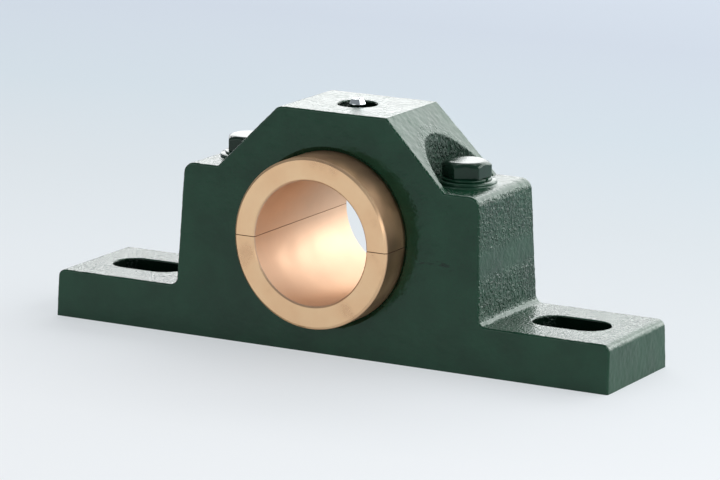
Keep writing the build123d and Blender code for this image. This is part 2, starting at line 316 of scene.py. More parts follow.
# %% Where a point of a casting is
def casting_masks(tree, place):
    """Shares from 0 to 1 by name, and the direction that the surface faces."""
    x, y, z = add_node(tree, "ShaderNodeSeparateXYZ", {0: place}).outputs
    far_x, far_y = math_node(tree, "ABSOLUTE", x), math_node(tree, "ABSOLUTE", y)
    normal = add_node(tree, "ShaderNodeNewGeometry").outputs["Normal"]
    facing = add_node(tree, "ShaderNodeSeparateXYZ", {0: normal}).outputs
    side = ramp(tree, math_node(tree, "ABSOLUTE", facing[0]), 0.75, 0.95)
    # the rough ends of the sides, on the body only
    ends = math_node(tree, "MULTIPLY_ADD", near(tree, z, CALM_Z, *CALM_REACH), -0.93, 1.0)
    body = math_node(tree, "SUBTRACT", 1.0, ramp(
        tree, far_x, BODY_HALF_WIDTH + 3 * MM, BODY_HALF_WIDTH + 5 * MM))
    rough_side = math_node(tree, "MULTIPLY", math_node(tree, "MULTIPLY", side, ends), body)
    # the walls of the bolt pockets
    to_bolt = add_node(tree, "ShaderNodeCombineXYZ", {
        0: math_node(tree, "SUBTRACT", far_x, BOLT_X), 1: y}).outputs[0]
    from_bolt = add_node(tree, "ShaderNodeVectorMath", {0: to_bolt}, operation="LENGTH")
    pocket = math_node(tree, "MULTIPLY", near(tree, from_bolt.outputs["Value"], 0, *POCKET_REACH),
                       ramp(tree, z, SHOULDER_Z + 0.3 * MM, SHOULDER_Z + 1 * MM))
    pocket = math_node(tree, "MULTIPLY", pocket, ramp(tree, facing[2], 0.5, 0.8, 1, 0))
    # the walls of the slots and of the nipple's pocket
    from_slot = math_node(tree, "ABSOLUTE", math_node(tree, "SUBTRACT", far_x, SLOT_X))
    slot = math_node(tree, "MULTIPLY", ramp(tree, from_slot, *SLOT_REACH[0], 1, 0),
                     ramp(tree, far_y, *SLOT_REACH[1], 1, 0))
    from_top = math_node(tree, "ADD", far_x, far_y)
    at_nipple = math_node(tree, "MULTIPLY", ramp(tree, from_top, *NIPPLE_REACH, 1, 0),
                          ramp(tree, z, JOINT_Z + SEAT_RADIUS, JOINT_Z + SEAT_RADIUS + MM))
    hole = math_node(tree, "MULTIPLY", math_node(tree, "MAXIMUM", slot, at_nipple),
                     ramp(tree, facing[2], 0.3, 0.6, 0.85, 0))
    # a patch just under the joint, on the front at the right
    low_line = math_node(tree, "MULTIPLY_ADD", x, 0.08, z)
    patch = math_node(tree, "MULTIPLY", near(tree, low_line, JOINT_Z - 1 * MM, 0.8 * MM, 2.2 * MM),
                      near(tree, x, *STROKES_X))
    patch = math_node(tree, "MULTIPLY", patch, ramp(tree, facing[1], -0.95, -0.8, 0.85, 0))
    edge = near(tree, math_node(tree, "ADD", facing[0], facing[1]), 0, 0.35, 0.6)
    front = ramp(tree, math_node(tree, "ABSOLUTE", facing[1]), 0.7, 0.95)
    return {"side": side, "rough_side": rough_side, "pocket": pocket, "hole": hole,
            "patch": patch, "edge": edge, "front": front}


def stretched_noise(tree, place, stretch, size, detail, distortion):
    """Noise whose bumps are longer where stretch is smaller."""
    stretched = add_node(tree, "ShaderNodeMapping", {"Vector": place, "Scale": stretch}).outputs[0]
    return add_node(tree, "ShaderNodeTexNoise", {
        "Vector": stretched, "Scale": size, "Detail": detail,
        "Distortion": distortion}).outputs["Fac"]


# %% The enamel
def enamel_material(name, colours, grain, speckled=False):
    """Gloss enamel. grain is how far the fine skin of the metal under it shows, in metres. On a
    speckled one, the skin is coarser at both ends of the sides and in the bolt pockets."""
    material, tree, shader = new_material(name, {
        "IOR": 1.42, "Specular Tint": (0.86, 1.0, 0.92, 1)})
    place = add_node(tree, "ShaderNodeTexCoord").outputs["Object"]
    cloud = add_node(tree, "ShaderNodeTexNoise", {"Vector": place, "Scale": 70, "Detail": 4})
    cloud = cloud.outputs["Fac"]
    colour = colour_ramp(tree, cloud, ((0.35, colours[0]), (0.65, colours[1])))
    gloss = ramp(tree, cloud, 0.3, 0.7, 0.10, 0.20)
    peel = add_node(tree, "ShaderNodeTexNoise", {"Vector": place, "Scale": 480, "Detail": 2})
    height = peel.outputs["Fac"]
    if speckled:
        on = casting_masks(tree, place)
        fleck = ramp(tree, stretched_noise(tree, place, (1, 1, 0.7), 880, 1.5, 0.5), 0.40, 0.62)
        strength = math_node(tree, "MULTIPLY_ADD", on["rough_side"], SIDE_FLECKS, PLAIN_FLECKS)
        strength = math_node(tree, "MULTIPLY_ADD", on["pocket"], POCKET_FLECKS, strength)
        strength = math_node(tree, "MULTIPLY_ADD", on["edge"], EDGE_FLECKS, strength)
        gloss = math_node(tree, "MULTIPLY_ADD", on["pocket"], POCKET_DULLNESS, gloss)
        gloss = math_node(tree, "MULTIPLY_ADD", on["side"], SIDE_DULLNESS, gloss)
        brushed = stretched_noise(tree, place, (0.6, 1, 1), 190, 2, 0.2)
        height = math_node(tree, "MULTIPLY_ADD", brushed,
                           math_node(tree, "MULTIPLY", on["front"], BRUSH_MARKS), height)
        height = math_node(tree, "MULTIPLY_ADD", fleck, strength, height)
        # short dark strokes, where paint was pulled as it dried
        strokes = stretched_noise(tree, place, (0.3, 1, 1.6), 420, 2, 0.5)
        strokes = math_node(tree, "MULTIPLY", ramp(tree, strokes, 0.50, 0.60), on["patch"])
        colour = mix_colours(tree, strokes, colour, STROKE_COLOUR)
        # painted light: a paler green on the rough walls of the bolt pockets, strongest on the flecks
        pocket_light = math_node(tree, "MULTIPLY", on["pocket"], ramp(tree, fleck, 0, 1, 0.35, 0.95))
        colour = mix_colours(tree, pocket_light, colour, POCKET_LIGHT_COLOUR)
        # painted shade: a darker green down in the slots and the nipple's pocket
        colour = mix_colours(tree, on["hole"], colour, HOLE_SHADE_COLOUR)
    tree.links.new(colour, shader.inputs["Base Color"])
    tree.links.new(gloss, shader.inputs["Roughness"])
    bump = add_node(tree, "ShaderNodeBump", {"Distance": grain, "Height": height})
    tree.links.new(bump.outputs[0], shader.inputs["Normal"])
    return material


CASTING_GREENS = ((0.0050, 0.034, 0.0165), (0.0080, 0.047, 0.0235))
# painted shade: the bolts wear the casting's enamel, but in a darker green
SHADED_FASTENER_GREENS = ((0.0030, 0.017, 0.0095), (0.0050, 0.026, 0.0140))
casting_enamel = enamel_material("casting_enamel", CASTING_GREENS, 0.10 * MM, speckled=True)
shaded_fastener_enamel = enamel_material("shaded_fastener_enamel", SHADED_FASTENER_GREENS, 0.05 * MM)
washer_enamel = enamel_material("washer_enamel", CASTING_GREENS, 0.06 * MM)
print("casting enamel has", len(casting_enamel.node_tree.nodes), "nodes, the others",
      len(shaded_fastener_enamel.node_tree.nodes))


# %% [markdown]
# ## Bronze and steel
# The bush was turned on a lathe, so its marks are rings round the shaft. They depend on the
# radius and the place along the shaft only. Handling has dulled the outside in clouds; the bore
# is redder and duller, and its colour is darker as painted shade; oil and dust mark the split.
# The steels are plain, a little mottled.


# %% Values of the bronze
TARNISH_COLOUR = (0.46, 0.30, 0.19, 1)
SPLIT_COLOUR = (0.13, 0.060, 0.030, 1)
BORE_DULLNESS, OUTSIDE_DULLNESS = 0.25, 0.20
GROOVE_DEPTH = 0.012 * MM


# %% The bronze
def bush_bronze_material():
    """Turned bronze: its face and outside are bright; its bore is duller and redder, with painted shade
    darkening it.
    """
    material, tree, shader = new_material("bush_bronze", {
        "Metallic": 1.0, "Specular Tint": (0.55, 0.48, 0.42, 1)})
    place = add_node(tree, "ShaderNodeTexCoord").outputs["Object"]
    x, y, z = add_node(tree, "ShaderNodeSeparateXYZ", {0: place}).outputs
    up = math_node(tree, "SUBTRACT", z, JOINT_Z)
    radius = add_node(tree, "ShaderNodeVectorMath", {
        0: add_node(tree, "ShaderNodeCombineXYZ", {0: x, 1: up}).outputs[0]},
        operation="LENGTH").outputs["Value"]
    in_bore = ramp(tree, radius, BORE_RADIUS + 0.1 * MM, BORE_RADIUS + 0.4 * MM, 1.0, 0.0)
    outside = ramp(tree, radius, SEAT_RADIUS - 0.4 * MM, SEAT_RADIUS - 0.1 * MM)
    cloud = add_node(tree, "ShaderNodeTexNoise", {"Vector": place, "Scale": 60, "Detail": 5})
    cloud = cloud.outputs["Fac"]
    bright = colour_ramp(tree, cloud, (
        (0.30, (0.64, 0.40, 0.235)), (0.45, (0.79, 0.515, 0.30)), (0.65, (0.83, 0.575, 0.345))))
    # painted shade: the bore's bronze is darker than the face's, and redder
    bore_redder_and_shaded = colour_ramp(tree, cloud, ((0.35, (0.66, 0.46, 0.325)), (0.65, (0.73, 0.53, 0.385))))
    handling = add_node(tree, "ShaderNodeTexNoise", {"Vector": place, "Scale": 45, "Detail": 2})
    tarnish = math_node(tree, "MULTIPLY", outside, ramp(tree, handling.outputs["Fac"], 0.25, 0.70))
    colour = mix_colours(tree, tarnish, bright, TARNISH_COLOUR)
    colour = mix_colours(tree, in_bore, colour, bore_redder_and_shaded)
    in_split = near(tree, z, JOINT_Z, 0.04 * MM, 0.22 * MM)
    colour = mix_colours(tree, in_split, colour, SPLIT_COLOUR)
    tree.links.new(colour, shader.inputs["Base Color"])
    # turning marks: rings round the shaft on the faces, rings along it on the cylinders
    groove_place = add_node(tree, "ShaderNodeCombineXYZ", {0: radius, 1: y}).outputs[0]
    groove = add_node(tree, "ShaderNodeTexNoise", {
        "Vector": groove_place, "Scale": 1500, "Detail": 2})
    dull = ramp(tree, cloud, 0.3, 0.7, 0.26, 0.36)
    dull = math_node(tree, "MULTIPLY_ADD", in_bore, BORE_DULLNESS, dull)
    dull = math_node(tree, "MULTIPLY_ADD", outside, OUTSIDE_DULLNESS, dull)
    tree.links.new(dull, shader.inputs["Roughness"])
    bump = add_node(tree, "ShaderNodeBump", {"Distance": GROOVE_DEPTH, "Height": groove.outputs["Fac"]})
    tree.links.new(bump.outputs[0], shader.inputs["Normal"])
    return material


# %% The steels
def steel_material(name, colour, roughness):
    material, tree, shader = new_material(name, {"Metallic": 1.0})
    place = add_node(tree, "ShaderNodeTexCoord").outputs["Object"]
    cloud = add_node(tree, "ShaderNodeTexNoise", {"Vector": place, "Scale": 900, "Detail": 3})
    cloud = cloud.outputs["Fac"]
    darker = tuple(0.93 * c for c in colour)
    tree.links.new(mix_colours(tree, cloud, (*darker, 1), (*colour, 1)), shader.inputs["Base Color"])
    tree.links.new(ramp(tree, cloud, 0.3, 0.7, roughness, roughness + 0.05),
                   shader.inputs["Roughness"])
    return material


bush_bronze = bush_bronze_material()
zinc_plate = steel_material("zinc_plate", (0.66, 0.70, 0.70), 0.10)
plain_steel = steel_material("plain_steel", (0.55, 0.54, 0.53), 0.30)

FINISH_OF_SLOT = {
    "green_enamel": shaded_fastener_enamel,
    "bush_bronze": bush_bronze,
    "zinc_plated_steel": zinc_plate,
    "plain_steel": plain_steel,
}
for node in frame["nodes"].values():
    for material_slot in node.material_slots:
        name = material_slot.material.name.split(".")[0]
        material_slot.material = FINISH_OF_SLOT.get(name, shaded_fastener_enamel)
print("finishes on", len(frame["nodes"]), "nodes")

# %% [markdown]
# ## The castings: flat faces need somewhere to ripple
# On the real block the castings' skin is uneven under its paint: long waves on the front, small
# lumps on top, close wrinkles down the sides. A bump map would leave the edges ruler-straight,
# so the surface itself is moved. The CAD mesh has long thin triangles with nothing inside them
# to move, and a voxel remesh would chew the machined edges. So each face is cut along a grid of
# planes instead: every original edge stays where it was, and the flats gain even small squares.


# %% Cutting a mesh along a grid
def split_polygon(polygon, points, axis, level, made):
    """The parts of a convex polygon below and above a plane. made remembers the cut points."""
    below, above = [], []
    for here, after in zip(polygon, polygon[1:] + polygon[:1]):
        a, b = points[here][axis] - level, points[after][axis] - level
        if a <= 0:
            below.append(here)
        if a >= 0:
            above.append(here)
        if a * b < 0:
            key = (min(here, after), max(here, after), axis, level)
            if key not in made:
                share = a / (a - b)
                made[key] = len(points)
                points.append(points[here].lerp(points[after], share))
            below.append(made[key])
            above.append(made[key])
    return below, above


COARSE_CELL = 4 * MM     # of machined faces: smaller than any hole in them


def grid_cut(bm, steps, is_fine):
    """A new bmesh: bm's triangles cut by planes at every step along x, y and z, then joined
    again where pieces of one flat face share a cell. Faces that aren't fine get coarse cells."""
    points = [v.co.copy() for v in bm.verts]
    polygons = [[v.index for v in face.verts] for face in bm.faces]
    made = {}
    for axis, step in enumerate(steps):
        cut = []
        for polygon in polygons:
            values = [points[i][axis] for i in polygon]
            first = math.floor(min(values) / step) + 1
            last = math.ceil(max(values) / step) - 1
            rest = polygon
            for k in range(first, last + 1):
                below, rest = split_polygon(rest, points, axis, k * step, made)
                if len(below) > 2:
                    cut.append(below)
            if len(rest) > 2:
                cut.append(rest)
        polygons = cut
    result = bmesh.new()
    verts = [result.verts.new(p) for p in points]
    cells = {}
    for polygon in polygons:
        middle = sum((points[i] for i in polygon), Vector()) / len(polygon)
        face = result.faces.new([verts[i] for i in polygon])
        face.normal_update()
        sizes = steps if is_fine(face) else (COARSE_CELL,) * 3
        cells[face] = tuple(math.floor(middle[a] / sizes[a]) for a in range(3))
    inner = [e for e in result.edges if len(e.link_faces) == 2
             and cells[e.link_faces[0]] == cells[e.link_faces[1]]
             and e.link_faces[0].normal.dot(e.link_faces[1].normal) > 0.99999]
    bmesh.ops.dissolve_edges(result, edges=inner, use_verts=True)
    bmesh.ops.remove_doubles(result, verts=result.verts, dist=0.03 * MM)
    bmesh.ops.dissolve_degenerate(result, edges=result.edges, dist=0.01 * MM)
    return result


def merged_copy(node_name):
    """A bmesh of a CAD node's mesh with its loose triangles joined."""
    bm = bmesh.new()
    bm.from_mesh(frame["nodes"][node_name].data)
    bmesh.ops.remove_doubles(bm, verts=bm.verts, dist=0.001 * MM)
    bm.verts.ensure_lookup_table()
    bm.verts.index_update()
    return bm


# %% [markdown]
# ## What was machined stays smooth
# The underside, the joint, the seat with its chamfers and the drilled holes were cut after
# casting, so they don't ripple. Each vertex gets two attributes for the node tree that follows:
# the direction in which its cast faces point, and how much of the skin it carries.


# %% Cast or machined
MOUTH_RADIUS = SEAT_RADIUS + 1.9 * MM          # takes in the chamfers of the seat
SPOT_FACE_RADIUS = WASHER_RADIUS + 0.4 * MM
SPOT_FACE_FADE = 1.5 * MM
BOLT_HOLE_RADIUS = 7.2 * MM
NIPPLE_POCKET_RADIUS = 8.0 * MM


def is_cast(face):
    """Whether the skin runs over this face of a casting."""
    middle, normal = face.calc_center_median(), face.normal
    flat = abs(normal.z) > 0.99
    if flat and (middle.z < 0.1 * MM or abs(middle.z - JOINT_Z) < 0.1 * MM):
        return False
    from_shaft = math.hypot(middle.x, middle.z - JOINT_Z)
    if from_shaft < MOUTH_RADIUS and abs(normal.y) < 0.9:
        return False
    from_bolt = math.hypot(abs(middle.x) - BOLT_X, middle.y)
    if from_bolt < BOLT_HOLE_RADIUS and abs(normal.z) < 0.5:
        return False
    in_pocket = math.hypot(middle.x, middle.y) < NIPPLE_POCKET_RADIUS
    return not (in_pocket and middle.z > JOINT_Z + SEAT_RADIUS)


def skin_share(point):
    """0 on the spot faces under the washers, 1 away from them."""
    if point.z < SHOULDER_Z - 0.2 * MM:
        return 1.0
    from_bolt = math.hypot(abs(point.x) - BOLT_X, point.y)
    return min(1.0, max(0.0, (from_bolt - SPOT_FACE_RADIUS) / SPOT_FACE_FADE))


def skinned_mesh(node_name, steps):
    """A mesh of a casting, cut along the grid, with the attributes that the skin needs."""
    merged = merged_copy(node_name)
    bm = grid_cut(merged, steps, is_cast)
    merged.free()
    bm.normal_update()
    outward = bm.verts.layers.float_vector.new("outward")
    share = bm.verts.layers.float.new("skin")
    cast = {face: is_cast(face) for face in bm.faces}
    for vert in bm.verts:
        normals = [f.normal * f.calc_area() for f in vert.link_faces if cast[f]]
        total = sum(normals, Vector())
        if vert.co.z < 0.05 * MM:
            total.z = 0     # the foot of the base stays in its plane
        if total.length > 0:
            vert[outward] = total.normalized()
            vert[share] = skin_share(vert.co)
    mesh = bpy.data.meshes.new(node_name + "_skin")
    bm.to_mesh(mesh)
    bm.free()
    print(node_name, "cut into", len(mesh.polygons), "faces")
    return mesh


# %% [markdown]
# ## The skin as a node tree
# The tree moves each vertex inwards along its outward direction, by noise at three sizes. It
# reads positions, so base and cap ripple as one surface across their joint. It only moves
# inwards, so the casting never outgrows the CAD model.


# %% A tree builder's helpers
def new_tree(name, inputs):
    """A Geometry Nodes tree with a geometry in and out, these named number inputs and a
    material named Finish."""
    tree = bpy.data.node_groups.new(name, "GeometryNodeTree")
    face = tree.interface
    face.new_socket("Geometry", in_out="INPUT", socket_type="NodeSocketGeometry")
    for label, (kind, value) in inputs.items():
        face.new_socket(label, in_out="INPUT", socket_type=kind).default_value = value
    face.new_socket("Finish", in_out="INPUT", socket_type="NodeSocketMaterial")
    face.new_socket("Geometry", in_out="OUTPUT", socket_type="NodeSocketGeometry")
    return tree, tree.nodes.new("NodeGroupInput").outputs


def end_tree(tree, geometry, finish):
    """The end of every tree: instances made real, and the material set."""
    whole = add_node(tree, "GeometryNodeRealizeInstances", {"Geometry": geometry})
    painted = add_node(tree, "GeometryNodeSetMaterial", {
        "Geometry": whole.outputs[0], "Material": finish})
    leave = tree.nodes.new("NodeGroupOutput")
    tree.links.new(painted.outputs[0], leave.inputs["Geometry"])
    return tree


def run_tree(name, mesh, tree, values, material):
    """The plain mesh object that a tree makes of a mesh. values are set by each input's
    identifier before the first evaluation."""
    values = {**values, "Finish": material}
    source = bpy.data.objects.new(name + "_source", mesh)
    bpy.context.scene.collection.objects.link(source)
    modifier = source.modifiers.new(tree.name, "NODES")
    modifier.node_group = tree
    for item in tree.interface.items_tree:
        if item.item_type == "SOCKET" and item.in_out == "INPUT" and item.name in values:
            modifier[item.identifier] = values[item.name]
    evaluated = source.evaluated_get(bpy.context.evaluated_depsgraph_get())
    plain = bpy.data.meshes.new_from_object(evaluated)
    source.modifiers.remove(modifier)
    bpy.data.objects.remove(source)
    piece = bpy.data.objects.new(name, plain)
    plain.name = name
    bpy.context.scene.collection.objects.link(piece)
    return piece


# %% The skin tree
def noise_height(tree, place, size, detail=2.0, distortion=0.0):
    """Noise from 0 to 1 whose bumps are about size metres wide."""
    return add_node(tree, "ShaderNodeTexNoise", {
        "Vector": place, "Scale": 0.5 / size, "Detail": detail,
        "Distortion": distortion}).outputs["Fac"]


def vector_scaled(tree, vector, factors):
    return add_node(tree, "ShaderNodeVectorMath", {0: vector, 1: factors},
                    operation="MULTIPLY").outputs[0]


def swing(tree, noise, amplitude, *shares):
    """noise about its middle, times an amplitude and shares."""
    value = math_node(tree, "MULTIPLY", math_node(tree, "SUBTRACT", noise, 0.5), amplitude)
    for share in shares:
        value = math_node(tree, "MULTIPLY", value, share)
    return value


def skin_tree():
    heights = {
        "Mean Depth": ("NodeSocketFloat", 0.18 * MM),
        "Wave Height": ("NodeSocketFloat", 0.24 * MM),
        "Lump Height": ("NodeSocketFloat", 0.22 * MM),
        "Speckle Height": ("NodeSocketFloat", 0.18 * MM),
        "Wrinkle Height": ("NodeSocketFloat", 0.50 * MM),
        "Flow Height": ("NodeSocketFloat", 0.42 * MM),
    }
    tree, entry = new_tree("casting_skin", heights)
    place = tree.nodes.new("GeometryNodeInputPosition").outputs[0]
    outward = add_node(tree, "GeometryNodeInputNamedAttribute", {"Name": "outward"},
                       data_type="FLOAT_VECTOR").outputs[0]
    share = add_node(tree, "GeometryNodeInputNamedAttribute", {"Name": "skin"},
                     data_type="FLOAT").outputs[0]
    facing = add_node(tree, "ShaderNodeSeparateXYZ", {0: outward}).outputs
    x, y, z = add_node(tree, "ShaderNodeSeparateXYZ", {0: place}).outputs
    sideways = math_node(tree, "ABSOLUTE", facing[0])

    wave = noise_height(tree, place, 8 * MM, 1.0)
    lump = noise_height(tree, place, 2.4 * MM, 1.5, 0.3)
    speckle = noise_height(tree, place, 1.1 * MM, 1.0, 0.3)
    upright = vector_scaled(tree, place, (1, 1, 0.65))
    streak = noise_height(tree, upright, 0.9 * MM, 1.5, 0.7)
    # flow lines run along the sides and rise a little towards the back
    along = math_node(tree, "MULTIPLY_ADD", y, 0.98, math_node(tree, "MULTIPLY", z, 0.17))
    across = math_node(tree, "MULTIPLY_ADD", y, -0.17, math_node(tree, "MULTIPLY", z, 0.98))
    oblique = add_node(tree, "ShaderNodeCombineXYZ", {
        0: math_node(tree, "MULTIPLY", along, 0.3), 1: across, 2: x}).outputs[0]
    flow = noise_height(tree, oblique, 2.6 * MM, 2.0, 0.4)

    # the sides wrinkle most near their top and foot; round the middle the paint has flowed
    ends = math_node(tree, "MULTIPLY_ADD", near(tree, z, CALM_Z, 3 * MM, 9 * MM), -0.95, 1.0)
    middle = near(tree, z, CALM_Z, 5 * MM, 10 * MM)
    on_sides = ramp(tree, sideways, 0.75, 0.95)
    calm = ramp(tree, z, 26 * MM, 32 * MM, 0.25, 1.0)
    on_feet = math_node(tree, "MULTIPLY", math_node(tree, "SUBTRACT", 1.0, calm),
                        ramp(tree, facing[2], 0.8, 0.95))
    steady = math_node(tree, "SUBTRACT", 1.0, on_feet)
    on_front = ramp(tree, math_node(tree, "ABSOLUTE", facing[1]), 0.85, 0.97, 1.0, 0.4)
    steady = math_node(tree, "MULTIPLY", steady, on_front)
    on_end = ramp(tree, math_node(tree, "ABSOLUTE", x), BODY_HALF_WIDTH + 5 * MM,
                  BODY_HALF_WIDTH + 9 * MM, 1.0, 0.35)

    height = swing(tree, wave, entry["Wave Height"], steady)
    for part in (
        swing(tree, lump, entry["Lump Height"], steady),
        swing(tree, speckle, entry["Speckle Height"], steady),
        swing(tree, streak, entry["Wrinkle Height"], on_sides, ends, on_end),
        swing(tree, flow, entry["Flow Height"], on_sides, middle, on_end),
    ):
        height = math_node(tree, "ADD", height, part)
    depth = math_node(tree, "SUBTRACT", entry["Mean Depth"], height)
    depth = math_node(tree, "MAXIMUM", depth, 0.0)
    inwards = math_node(tree, "MULTIPLY", math_node(tree, "MULTIPLY", depth, share), -1.0)
    offset = add_node(tree, "ShaderNodeVectorMath", {0: outward, "Scale": inwards},
                      operation="SCALE").outputs[0]
    moved = add_node(tree, "GeometryNodeSetPosition", {
        "Geometry": entry["Geometry"], "Offset": offset})
    return end_tree(tree, moved.outputs[0], entry["Finish"])


casting_skin = skin_tree()
print("skin tree inputs:", [i.name for i in casting_skin.interface.items_tree])

# %% Base and cap with their skin
GRID_STEPS = (0.7 * MM, 0.55 * MM, 0.7 * MM)     # finer along y, where the sides wrinkle
for node_name in ("base_casting", "cap_casting"):
    source_mesh = skinned_mesh(node_name, GRID_STEPS)
    piece = run_tree(node_name + "_skin", source_mesh, casting_skin, {}, casting_enamel)
    piece.data.shade_smooth()
    piece.data.set_sharp_from_angle(angle=math.radians(35))
    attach(piece, "housing")
    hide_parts(node_name)
    triangles = sum(len(p.vertices) - 2 for p in piece.data.polygons)
    print(piece.name, "has", triangles, "triangles")

# %% [markdown]
# ## The bush halves: a split that shows
# Each half was turned together with the other, then parted, so its edges along the split are
# broken by a hair. The merged CAD halves get that small bevel; the rest of their shape is right.


# %% Edges broken along the split
SPLIT_BEVEL = 0.16 * MM


def joined_flats(node_name):
    """A bmesh of a CAD node with the triangles of each flat face joined."""
    bm = merged_copy(node_name)
    bmesh.ops.dissolve_limit(bm, angle_limit=math.radians(0.3), verts=bm.verts, edges=bm.edges)
    return bm


def finished_piece(name, bm, material, node_name, angle=30):
    """An object of a bmesh that rides the housing in place of a CAD node."""
    bmesh.ops.recalc_face_normals(bm, faces=bm.faces)
    mesh = bpy.data.meshes.new(name)
    bm.to_mesh(mesh)
    bm.free()
    mesh.materials.append(material)
    mesh.shade_smooth()
    mesh.set_sharp_from_angle(angle=math.radians(angle))
    piece = bpy.data.objects.new(name, mesh)
    bpy.context.scene.collection.objects.link(piece)
    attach(piece, "housing")
    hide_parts(node_name)
    return piece


for node_name in ("lower_bush_half", "upper_bush_half"):
    bm = joined_flats(node_name)
    split_edges = [e for e in bm.edges if len(e.link_faces) == 2
                   and all(abs(v.co.z - JOINT_Z) < 0.01 * MM for v in e.verts)
                   and e.calc_face_angle() > math.radians(30)]
    bmesh.ops.bevel(bm, geom=split_edges, offset=SPLIT_BEVEL, segments=1, affect="EDGES",
                    clamp_overlap=False)
    piece = finished_piece(node_name + "_broken_edges", bm, bush_bronze, node_name)
    print(piece.name, "bevelled", len(split_edges), "edges,", len(piece.data.polygons), "faces")

# %% [markdown]
# ## Painted bolt heads
# The heads were painted over with the casting, so their edges are round and thick. Each head is
# a lathe shape whose radius also depends on the angle: the smaller of a soft hexagon and a cone,
# joined smoothly, which gives the curved arcs that a chamfered hexagon has.

# %% Values of the heads
HEAD_FLATS = 17.0 * MM
HEAD_FACE_RADIUS = 0.86 * HEAD_FLATS / 2
HEAD_CHAMFER = math.radians(30)
HEAD_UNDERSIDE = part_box("spring_washer_right")[1].z
HEAD_TOP = BOLT_HIGH.z
HEAD_TURN = {"left": 29.0, "right": 55.5}     # degrees from the x axis to a flat
CORNER_SHARPNESS = 150
EDGE_ROUND = 0.35 * MM
CHAMFER_ROUND = 0.10 * MM
AROUND = 144
print("heads from", HEAD_UNDERSIDE / MM, "to", HEAD_TOP / MM)


def soft_less(a, b, width):
    """The smaller of a and b, rounded over where they are within about width of each other."""
    low = min(a, b)
    return low - width * math.log(math.exp((low - a) / width) + math.exp((low - b) / width))


def head_radius(angle, z):
    across = sum(abs(math.cos(angle - k * math.pi / 3)) ** CORNER_SHARPNESS for k in range(3))
    hexagon = HEAD_FLATS / 2 / across ** (1 / CORNER_SHARPNESS)
    cone = HEAD_FACE_RADIUS + (HEAD_TOP - z) / math.tan(HEAD_CHAMFER)
    return soft_less(hexagon, cone, CHAMFER_ROUND)


def lathe(bm, rings, centre):
    """Faces between rings of points, each a list of (angle, radius, z), closed by centre points."""
    loops = [[bm.verts.new((centre.x + r * math.cos(a), centre.y + r * math.sin(a), z))
              for a, r, z in ring] for ring in rings]
    for low, high in zip(loops, loops[1:]):
        for k in range(len(low)):
            after = (k + 1) % len(low)
            bm.faces.new((low[k], low[after], high[after], high[k]))
    bm.faces.new(loops[-1])
    bm.faces.new(reversed(loops[0]))


def head_rings(turn):
    """The rings of a head from its underside up its sides and over its rounded top edge."""
    angles = [2 * math.pi * k / AROUND for k in range(AROUND)]
    height = HEAD_TOP - HEAD_UNDERSIDE
    levels = [(0, 0.30), (0.02, 0.10), (0.05, 0.0)] + [(share / 10, 0.0) for share in range(1, 10)]
    levels = [(HEAD_UNDERSIDE + share * height, inset * MM) for share, inset in levels]
    for step in range(1, 6):
        bend = math.radians(18 * step)
        levels.append((HEAD_TOP - EDGE_ROUND * (1 - math.sin(bend)), EDGE_ROUND * (1 - math.cos(bend))))
    rings = [[(a + turn, head_radius(a, z) - inset, z) for a in angles] for z, inset in levels]
    for share in (0.85, 0.6, 0.3, 0.08):
        rings.append([(a + turn, share * (head_radius(a, HEAD_TOP) - EDGE_ROUND), HEAD_TOP)
                      for a in angles])
    return rings


# %% The heads
for side, sign in SIDES:
    bm = bmesh.new()
    lathe(bm, head_rings(math.radians(HEAD_TURN[side])), Vector((sign * BOLT_X, 0, 0)))
    piece = finished_piece(f"cap_bolt_{side}_head", bm, shaded_fastener_enamel, f"cap_bolt_{side}",
                           angle=60)
    print(piece.name, len(piece.data.polygons), "faces")

# %% [markdown]
# ## Threads
# A thread is a plain cylinder whose surface is moved in by a triangle wave of height plus angle,
# one turn per pitch. A node tree does that for any size. Its crests keep the plain shank's
# radius, and it fades out under the head, as a cut thread runs out.


# %% The thread tree
def thread_tree():
    sizes = {
        "Radius": ("NodeSocketFloat", 6 * MM),
        "Length": ("NodeSocketFloat", 50 * MM),
        "Thread Length": ("NodeSocketFloat", 34 * MM),
        "Pitch": ("NodeSocketFloat", 1.75 * MM),
        "Depth": ("NodeSocketFloat", 1.0 * MM),
        "Tip Chamfer": ("NodeSocketFloat", 1.2 * MM),
        "Steps": ("NodeSocketInt", 180),
    }
    tree, size = new_tree("screw_thread", sizes)
    rod = add_node(tree, "GeometryNodeMeshCylinder", {
        "Vertices": 40, "Side Segments": size["Steps"], "Radius": size["Radius"],
        "Depth": size["Length"]})
    place = tree.nodes.new("GeometryNodeInputPosition").outputs[0]
    x, y, z = add_node(tree, "ShaderNodeSeparateXYZ", {0: place}).outputs
    from_tip = math_node(tree, "ADD", z, math_node(tree, "MULTIPLY", size["Length"], 0.5))
    turns = math_node(tree, "DIVIDE", math_node(tree, "ARCTAN2", y, x), -2 * math.pi)
    phase = math_node(tree, "ADD", math_node(tree, "DIVIDE", from_tip, size["Pitch"]), turns)
    valley = math_node(tree, "PINGPONG", phase, 0.5)
    valley = ramp(tree, valley, 0.05, 0.45)
    room = math_node(tree, "SUBTRACT", size["Thread Length"], from_tip)
    kept = ramp(tree, math_node(tree, "DIVIDE", room, size["Pitch"]), 0, 2)
    cut_in = math_node(tree, "MULTIPLY", math_node(tree, "MULTIPLY", valley, size["Depth"]), kept)
    cut_in = math_node(tree, "MAXIMUM", cut_in,
                       math_node(tree, "SUBTRACT", size["Tip Chamfer"], from_tip))
    shrink = math_node(tree, "DIVIDE", math_node(tree, "SUBTRACT", size["Radius"], cut_in),
                       size["Radius"])
    away = add_node(tree, "ShaderNodeCombineXYZ", {
        0: math_node(tree, "MULTIPLY", x, shrink), 1: math_node(tree, "MULTIPLY", y, shrink), 2: z})
    shaped = add_node(tree, "GeometryNodeSetPosition", {
        "Geometry": rod.outputs["Mesh"], "Position": away.outputs[0]})
    return end_tree(tree, shaped.outputs[0], size["Finish"])


screw_thread = thread_tree()
print("thread tree inputs:", [i.name for i in screw_thread.interface.items_tree])

